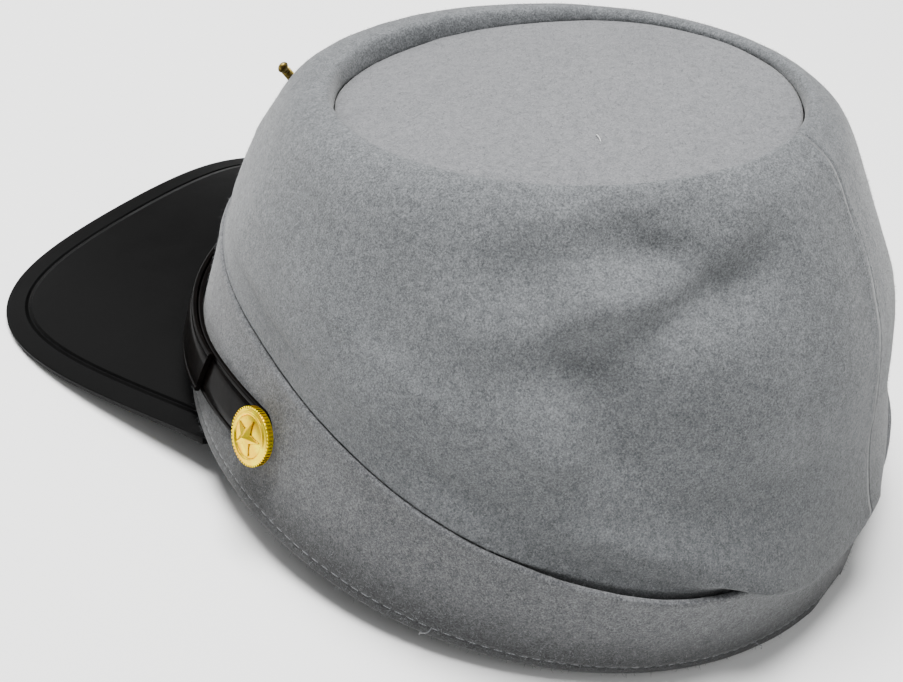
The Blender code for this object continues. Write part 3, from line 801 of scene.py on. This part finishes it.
# Shares of the strap's width, then of its thickness from its back to its face.
STRAP_PROFILE = (
    (0.000, 0.15), (0.000, 0.70), (0.012, 0.92), (0.035, 1.00), (0.095, 1.02), (0.118, 0.86),
    (0.140, 1.03), (0.300, 1.08), (0.500, 1.10), (0.700, 1.08), (0.860, 1.03), (0.882, 0.86),
    (0.905, 1.02), (0.965, 1.00), (0.988, 0.92), (1.000, 0.70), (1.000, 0.15), (0.980, 0.02),
    (0.020, 0.02),
)


def strap_rails(node):
    """The four corner lines of a strap's solid: back low, back high, face low, face high."""
    form = bmesh.new()
    form.from_mesh(nodes[node].data)
    bmesh.ops.remove_doubles(form, verts=form.verts, dist=0.00001)
    points = sorted((level @ vertex.co for vertex in form.verts), key=polar)
    form.free()
    rails = []
    for start in range(0, len(points), 4):
        low, high = [
            sorted(pair, key=lambda point: math.hypot(point.x / BASE_HALF_WIDTH, point.y / BASE_FRONT))
            for pair in (
                sorted(points[start:start + 4], key=lambda point: point.z)[:2],
                sorted(points[start:start + 4], key=lambda point: point.z)[2:],
            )
        ]
        rails.append((low[0], high[0], low[1], high[1]))
    return rails


def make_strap(node, name, round_side):
    """Strap with a worked profile, run smoothly between the solid's corner lines. Its end
    over the button on one side of the cap is cut round.
    """
    rails = strap_rails(node)
    button_end = max((rails[0][0], rails[-1][0]), key=lambda point: point.x * round_side)
    last = len(rails) - 1
    form = bmesh.new()
    rows = []
    for step in range(last * STRAP_STEPS + 1):
        index = min(step // STRAP_STEPS, last - 1)
        part = step / STRAP_STEPS - index
        corners = []
        for k in range(4):
            before, start, end, after = (rails[min(max(index + j, 0), last)][k] for j in (-1, 0, 1, 2))
            corners.append(0.5 * (
                2 * start + (end - before) * part
                + (2 * before - 5 * start + 4 * end - after) * part ** 2
                + (3 * start - before - 3 * end + after) * part ** 3
            ))
        back_low, back_high, face_low, face_high = corners
        left = min((back_low - button_end).length / STRAP_ROUND, 1.0)
        width = max(math.sqrt(left * (2.0 - left)), STRAP_ROUND_LEAST)
        row = []
        for across, through in STRAP_PROFILE:
            across = 0.5 + (across - 0.5) * width
            behind = back_low + (back_high - back_low) * across
            front = face_low + (face_high - face_low) * across
            row.append(form.verts.new(pose @ (behind + (front - behind) * through)))
        rows.append(row)
    count = len(STRAP_PROFILE)
    for first, second in zip(rows, rows[1:]):
        for k in range(count):
            other = (k + 1) % count
            form.faces.new((first[k], first[other], second[other], second[k]))
    form.faces.new(rows[0])
    form.faces.new(list(reversed(rows[-1])))
    bmesh.ops.recalc_face_normals(form, faces=form.faces)
    mesh = bpy.data.meshes.new(name)
    form.to_mesh(mesh)
    form.free()
    piece = bpy.data.objects.new(name, mesh)
    bpy.context.scene.collection.objects.link(piece)
    bpy.ops.object.select_all(action="DESELECT")
    piece.select_set(True)
    bpy.context.view_layer.objects.active = piece
    bpy.ops.object.shade_smooth_by_angle(angle=math.radians(50))
    return piece


# Deep black under a thin lacquer, which gives narrow bright reflections along the ridges.
material, tree, shader, place = new_material("black patent leather")
ripple = add_node(tree, "ShaderNodeTexNoise", {
    "Vector": place, "Scale": 1 / STRAP_RIPPLE, "Detail": 3.0, "Roughness": 0.55,
})
tone = ramp(tree, ripple.outputs["Fac"], (0.35, "#040303"), (0.65, "#080605"))
bump = add_node(tree, "ShaderNodeBump", {
    "Height": ripple.outputs["Fac"], "Strength": 0.35, "Distance": 0.00025,
})
fill(tree, shader, {
    "Base Color": tone, "Normal": bump.outputs["Normal"], "Roughness": 0.30,
    "Specular IOR Level": 0.015, "Coat Weight": 0.05, "Coat Roughness": 0.08,
})
for node, name, side in (
    ("strap_under", "strap_lower_tongue", 1.0),
    ("strap_over", "strap_upper_tongue", -1.0),
):
    strap = make_strap(node, name, side)
    strap.data.materials.append(material)
    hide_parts(node)
    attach(strap, "root")


# The buttons: stamped brass shells with a rolled and milled rim and a ridged star, one over
# each end of the chin strap.
BUTTON_TURN_STEPS = 96
GILT_PATCH = 0.0035
GILT_DENT = 0.0009
# Reach of the painted shade in the button's recesses.
RECESS_SHADE_REACH = 0.0010
BUTTON_TICKS = 52
TICK_SIZE = (0.00080, 0.00046, 0.00170)
TICK_REACH = 0.00730
TICK_HEIGHT = 0.0019
STAR_REACH = 0.0049
STAR_WAIST = 0.0020
STAR_TIP_RISE = 0.00362
STAR_WAIST_RISE = 0.00405
STAR_RISE = 0.00525
STAR_FOOT = 0.0008
# Places of the left one on the level cap: middle of its back, then its directions.
BUTTON_BACK = Vector((0.084029, -0.035511, 0.021331))
BUTTON_UP = Vector((-0.206544, 0.076127, 0.975471))
BUTTON_OUT = Vector((0.915282, -0.337349, 0.220126))
# Radii and heights of the shell's section, in metres, from the middle of its face.
BUTTON_SECTION = (
    (0.0000, 0.00375), (0.0012, 0.00373), (0.0025, 0.00364), (0.0038, 0.00346), (0.0048, 0.00322),
    (0.0053, 0.00304), (0.00548, 0.00298), (0.00562, 0.00316), (0.0058, 0.00332), (0.0060, 0.00338),
    (0.0062, 0.00332), (0.00638, 0.00314), (0.0065, 0.00298), (0.0068, 0.00294), (0.0072, 0.00284),
    (0.00743, 0.00256), (0.0075, 0.0022), (0.0075, 0.0012), (0.00735, 0.0007), (0.0066, 0.0002),
    (0.0000, 0.0001),
)


def join_into(first, others):
    """Join pieces into the first one."""
    bpy.ops.object.select_all(action="DESELECT")
    for piece in (first, *others):
        piece.select_set(True)
    bpy.context.view_layer.objects.active = first
    bpy.ops.object.join()
    return first


def turned_shell(section, steps):
    """Closed shell turned from a section of radii and heights."""
    bpy.ops.object.select_all(action="DESELECT")
    bpy.ops.mesh.primitive_circle_add(vertices=len(section), radius=1.0)
    shell = bpy.context.object
    for vertex, (radius, height) in zip(shell.data.vertices, section):
        vertex.co = (radius, 0.0, height)
    bpy.ops.object.mode_set(mode="EDIT")
    bpy.ops.mesh.select_all(action="SELECT")
    bpy.ops.mesh.spin(steps=steps, angle=math.tau, center=(0.0, 0.0, 0.0), axis=(0.0, 0.0, 1.0))
    bpy.ops.mesh.select_all(action="SELECT")
    bpy.ops.mesh.remove_doubles(threshold=0.000002)
    bpy.ops.mesh.normals_make_consistent(inside=False)
    bpy.ops.object.mode_set(mode="OBJECT")
    bpy.ops.object.shade_smooth_by_angle(angle=math.radians(60))
    return shell


def ridged_star():
    """Five-pointed star that rises to its middle, with a ridge out to each point."""
    bpy.ops.object.select_all(action="DESELECT")
    bpy.ops.mesh.primitive_circle_add(vertices=10, radius=1.0, fill_type="NGON")
    star = bpy.context.object
    for index, vertex in enumerate(star.data.vertices):
        turn = math.pi * (0.5 + index / 5)
        reach, height = (STAR_REACH, STAR_TIP_RISE) if index % 2 == 0 else (STAR_WAIST, STAR_WAIST_RISE)
        vertex.co = (math.cos(turn) * reach, math.sin(turn) * reach, height - STAR_FOOT)
    bpy.ops.object.mode_set(mode="EDIT")
    bpy.ops.mesh.select_all(action="SELECT")
    bpy.ops.mesh.extrude_region_move(TRANSFORM_OT_translate={"value": (0.0, 0.0, STAR_FOOT)})
    bpy.ops.mesh.poke(offset=0.0)
    bpy.ops.object.mode_set(mode="OBJECT")
    middle = min(star.data.vertices, key=lambda vertex: vertex.co.xy.length)
    middle.co = (0.0, 0.0, STAR_RISE)
    return star


def milled_ticks():
    """Fine bars side by side round the rim."""
    ticks = []
    for index in range(BUTTON_TICKS):
        turn = math.tau * index / BUTTON_TICKS
        bpy.ops.mesh.primitive_cube_add(
            size=1.0, location=(math.cos(turn) * TICK_REACH, math.sin(turn) * TICK_REACH, TICK_HEIGHT),
            rotation=(0.0, 0.0, turn), scale=TICK_SIZE,
        )
        ticks.append(bpy.context.object)
    first = join_into(ticks[0], ticks[1:])
    bpy.ops.object.transform_apply(location=True, rotation=True, scale=True)
    return first


# Bright yellow gilt with soft reflections, with painted shade turning it dark brown where the stamping
# is deep.
material, tree, shader, place = new_material("stamped gilt brass")
tarnish = add_node(tree, "ShaderNodeTexNoise", {
    "Vector": place, "Scale": 1 / GILT_PATCH, "Detail": 3.0,
})
tone = ramp(tree, tarnish.outputs["Fac"], (0.35, "#f6c400"), (0.65, "#ffea00"))
hammered = add_node(tree, "ShaderNodeTexNoise", {
    "Vector": place, "Scale": 1 / GILT_DENT, "Detail": 2.0,
})
bump = add_node(tree, "ShaderNodeBump", {
    "Height": hammered.outputs["Fac"], "Strength": 0.25, "Distance": 0.00008,
})
gloss = ranged(tree, tarnish.outputs["Fac"], 0.3, 0.7, 0.38, 0.27, "LINEAR")
# Painted shade: the gilt is darkened where the stamping closes in around a spot.
recess_shade = add_node(tree, "ShaderNodeAmbientOcclusion", {
    "Distance": RECESS_SHADE_REACH,
}, samples=8, only_local=True)
painted_recess_shade = ramp(tree, recess_shade.outputs["AO"], (0.45, "#5a4210"), (0.86, "#ffffff"))
shaded_gilt_tone = multiplied(tree, tone, painted_recess_shade)
fill(tree, shader, {
    "Base Color": shaded_gilt_tone, "Roughness": gloss, "Normal": bump.outputs["Normal"],
    "Metallic": 1.0, "Specular Tint": srgb("#ffd24a"),
})
gilt = material

button = join_into(turned_shell(BUTTON_SECTION, BUTTON_TURN_STEPS), [ridged_star(), milled_ticks()])
button.name = "button_shell_left"
bpy.ops.object.mode_set(mode="EDIT")
bpy.ops.mesh.select_all(action="SELECT")
bpy.ops.mesh.normals_make_consistent(inside=False)
bpy.ops.object.mode_set(mode="OBJECT")
bpy.ops.object.transform_apply(location=True, rotation=True, scale=True)
shell = button.data.copy()
for side, name, node in (
    (1.0, "button_shell_left", "button_left"),
    (-1.0, "button_shell_right", "button_right"),
):
    mirror = Vector((side, 1.0, 1.0))
    upwards = BUTTON_UP * mirror
    outwards = BUTTON_OUT * mirror
    across = upwards.cross(outwards)
    frame_turn = Matrix((across, upwards, outwards)).transposed().to_4x4()
    mesh = shell.copy()
    mesh.transform(pose @ Matrix.Translation(BUTTON_BACK * mirror) @ frame_turn)
    piece = bpy.data.objects.new(name, mesh)
    bpy.context.scene.collection.objects.link(piece)
    piece.data.materials.clear()
    piece.data.materials.append(gilt)
    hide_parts(node)
    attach(piece, "root")
bpy.data.objects.remove(button)


# The badge: two straight swords of stamped brass, crossed and soldered, mottled brown with
# tarnish. It is pinned through the felt above the band, a little askew.
# Places on the level cap: middle of its back, then its directions.
BADGE_BACK = Vector((0.0, -0.093098, 0.05895))
BADGE_UP = Vector((0.0, 0.181135, 0.983458))
BADGE_OUT = Vector((0.0, -0.983458, 0.181135))
BADGE_SLOPES = (44.0, 152.0)
SWORD_HALF = 0.02596
BLADE_WIDTH = 0.0030
BLADE_THICKNESS = 0.0018
BLADE_POINT = 0.0035
BLADE_END = -0.84
BLADE_TIP_SHARE = 0.12
GUARD_PLACE = 0.46
GUARD_HALF = 0.0047
GUARD_RADIUS = 0.00085
GUARD_KNOB_RADIUS = 0.0010625
GRIP_FROM = 0.50
GRIP_TO = 0.86
GRIP_RADIUS = 0.00105
GRIP_OVERLAP = 0.001
GRIP_WIRES = 6
WIRE_RADIUS = 0.00028
POMMEL_RADIUS = 0.0016
POMMEL_FLATTEN = 0.7
SWORD_MIDDLE = 0.00115
TARNISH_SPOT = 0.0018


def sword():
    """Straight sword along X, its pommel at the far end: blade, guard, grip and pommel."""
    bpy.ops.object.select_all(action="DESELECT")
    start = BLADE_END * SWORD_HALF
    end = GUARD_PLACE * SWORD_HALF
    bpy.ops.mesh.primitive_cylinder_add(
        vertices=4, radius=0.5, depth=end - start, rotation=(0.0, math.pi / 2, 0.0),
        location=((start + end) / 2, 0.0, SWORD_MIDDLE),
    )
    blade = bpy.context.object
    bpy.ops.object.transform_apply(location=True, rotation=True, scale=True)
    bpy.ops.object.mode_set(mode="EDIT")
    bpy.ops.mesh.select_all(action="SELECT")
    bpy.ops.mesh.bisect(plane_co=(start + BLADE_POINT, 0.0, 0.0), plane_no=(1.0, 0.0, 0.0))
    bpy.ops.object.mode_set(mode="OBJECT")
    for vertex in blade.data.vertices:
        share = BLADE_TIP_SHARE if vertex.co.x < start + BLADE_POINT / 2 else 1.0
        vertex.co.y *= BLADE_WIDTH * share
        vertex.co.z = SWORD_MIDDLE + (vertex.co.z - SWORD_MIDDLE) * BLADE_THICKNESS * share
    pieces = []
    bpy.ops.mesh.primitive_cylinder_add(
        vertices=20, radius=GUARD_RADIUS, depth=2 * GUARD_HALF, rotation=(math.pi / 2, 0.0, 0.0),
        location=(end, 0.0, SWORD_MIDDLE),
    )
    pieces.append(bpy.context.object)
    for side in (-1.0, 1.0):
        bpy.ops.mesh.primitive_uv_sphere_add(
            segments=20, ring_count=12, radius=GUARD_KNOB_RADIUS,
            location=(end, side * GUARD_HALF, SWORD_MIDDLE),
        )
        pieces.append(bpy.context.object)
    grip_from = GRIP_FROM * SWORD_HALF
    grip_to = GRIP_TO * SWORD_HALF
    bpy.ops.mesh.primitive_cylinder_add(
        vertices=20, radius=GRIP_RADIUS, depth=grip_to - grip_from + GRIP_OVERLAP,
        rotation=(0.0, math.pi / 2, 0.0), location=((grip_from + grip_to) / 2, 0.0, SWORD_MIDDLE),
    )
    pieces.append(bpy.context.object)
    for wire in range(GRIP_WIRES):
        place = grip_from + (grip_to - grip_from) * (wire + 0.5) / GRIP_WIRES
        bpy.ops.mesh.primitive_torus_add(
            major_radius=GRIP_RADIUS, minor_radius=WIRE_RADIUS, major_segments=20, minor_segments=8,
            rotation=(0.0, math.pi / 2, 0.0), location=(place, 0.0, SWORD_MIDDLE),
        )
        pieces.append(bpy.context.object)
    bpy.ops.mesh.primitive_uv_sphere_add(
        segments=20, ring_count=12, radius=POMMEL_RADIUS, scale=(1.0, 1.0, POMMEL_FLATTEN),
        location=(SWORD_HALF - POMMEL_RADIUS, 0.0, SWORD_MIDDLE),
    )
    pieces.append(bpy.context.object)
    piece = join_into(blade, pieces)
    bpy.ops.object.transform_apply(location=True, rotation=True, scale=True)
    bpy.ops.object.shade_smooth_by_angle(angle=math.radians(40))
    return piece


# Dull yellow metal, mottled with brown where it has tarnished, shiny only in spots.
material, tree, shader, place = new_material("browned stamped brass")
tarnish = add_node(tree, "ShaderNodeTexNoise", {
    "Vector": place, "Scale": 1 / TARNISH_SPOT, "Detail": 4.0,
})
tone = ramp(tree, tarnish.outputs["Fac"], (0.38, "#43351a"), (0.62, "#a08c46"))
gloss = ranged(tree, tarnish.outputs["Fac"], 0.3, 0.7, 0.60, 0.32, "LINEAR")
bump = add_node(tree, "ShaderNodeBump", {
    "Height": tarnish.outputs["Fac"], "Strength": 0.4, "Distance": 0.0001,
})
fill(tree, shader, {
    "Base Color": tone, "Roughness": gloss, "Normal": bump.outputs["Normal"],
    "Metallic": 1.0,
})

first = sword()
second_mesh = first.data.copy()
first.data.transform(Matrix.Rotation(math.radians(BADGE_SLOPES[0]), 4, "Z"))
second_mesh.transform(Matrix.Rotation(math.radians(BADGE_SLOPES[1]), 4, "Z"))
second = bpy.data.objects.new("second_sword", second_mesh)
bpy.context.scene.collection.objects.link(second)
badge = join_into(first, [second])
badge.name = "crossed_swords"
badge_turn = Matrix((BADGE_UP.cross(BADGE_OUT), BADGE_UP, BADGE_OUT)).transposed().to_4x4()
badge.data.transform(pose @ Matrix.Translation(BADGE_BACK) @ badge_turn)
badge.data.materials.clear()
badge.data.materials.append(material)
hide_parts("badge")
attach(badge, "root")


# The nap: loose fibres that stand a little off the felt everywhere, so that it looks
# brushed and its outline is soft. Each is a bent sliver of two short blades.
NAP_SEED = 7
FIBRE_WIDTH = 0.00005
FIBRE_LENGTH = (0.0009, 0.0022)
FIBRE_RISE = (0.10, 0.55)
FIBRE_BEND = 0.5
FIBRE_TIP_RISE = 0.2
FIBRE_ROOT = 0.0001
FIBRE_SHADE = 0.0006
HOLLOW_MIDDLE = Vector((0.0, 0.0, 0.045))


def brush_up(piece, name, count, material):
    """Seeded fibres spread evenly over a piece's faces that look away from the hollow."""
    rng = np.random.default_rng(NAP_SEED)
    mesh = piece.data
    mesh.calc_loop_triangles()
    corners = np.empty(len(mesh.vertices) * 3)
    mesh.vertices.foreach_get("co", corners)
    corners = corners.reshape(-1, 3)
    triangles = np.empty(len(mesh.loop_triangles) * 3, dtype=np.int64)
    mesh.loop_triangles.foreach_get("vertices", triangles)
    a, b, c = (corners[triangles.reshape(-1, 3)[:, k]] for k in range(3))
    normals = np.cross(b - a, c - a)
    areas = np.linalg.norm(normals, axis=1)
    normals /= np.maximum(areas, 1e-15)[:, None]
    middle = (a + b + c) / 3
    inside = np.array(pose @ HOLLOW_MIDDLE)
    areas[((middle - inside) * normals).sum(axis=1) < 0.0] = 0.0
    chosen = rng.choice(len(areas), size=count, p=areas / areas.sum())
    u, v = rng.random(count), rng.random(count)
    over = u + v > 1.0
    u[over], v[over] = 1.0 - u[over], 1.0 - v[over]
    root = a[chosen] + (b - a)[chosen] * u[:, None] + (c - a)[chosen] * v[:, None]
    normal = normals[chosen]
    lean = rng.normal(size=(count, 3))
    lean -= (lean * normal).sum(axis=1)[:, None] * normal
    lean /= np.linalg.norm(lean, axis=1)[:, None]
    across = np.cross(normal, lean)
    length = rng.uniform(*FIBRE_LENGTH, count)[:, None]
    rise = rng.uniform(*FIBRE_RISE, count)[:, None]
    bend = rng.uniform(-FIBRE_BEND, FIBRE_BEND, count)[:, None]
    half_way = root + (lean + normal * rise) * length * 0.5
    tip = half_way + (lean + across * bend + normal * rise * FIBRE_TIP_RISE) * length * 0.5
    root = root - normal * FIBRE_ROOT
    side = across * FIBRE_WIDTH / 2
    points = np.stack([root - side, root + side, half_way + side, half_way - side, tip], axis=1)
    points = points.reshape(-1, 3)
    first = np.arange(count) * 5
    blades = np.stack([first, first + 1, first + 2, first + 3], axis=1).tolist()
    tips = np.stack([first + 3, first + 2, first + 4], axis=1).tolist()
    fibres = bpy.data.meshes.new(name)
    fibres.from_pydata(points.tolist(), [], blades + tips)
    nap = bpy.data.objects.new(name, fibres)
    bpy.context.scene.collection.objects.link(nap)
    nap.data.materials.append(material)
    return nap


# Single matt hairs, some darker and some paler than the felt, that soften its outline.
material, tree, shader, place = new_material("loose wool fibres")
blend = add_node(tree, "ShaderNodeTexNoise", {"Vector": place, "Scale": 1 / FIBRE_SHADE, "Detail": 1.0})
tone = ramp(tree, blend.outputs["Fac"], (0.40, "#3a3c3e"), (0.62, "#86888a"))
fill(tree, shader, {"Base Color": tone, "Roughness": 0.9, "Specular IOR Level": 0.2})
for piece, name, count, slot in (
    (crown, "nap_of_wall", 42000, "crown_felt"),
    (top, "nap_of_top", 9000, "top_felt"),
    (band, "nap_of_band", 20000, "band_felt"),
):
    nap = brush_up(piece, name, count, material)
    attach(nap, "root")
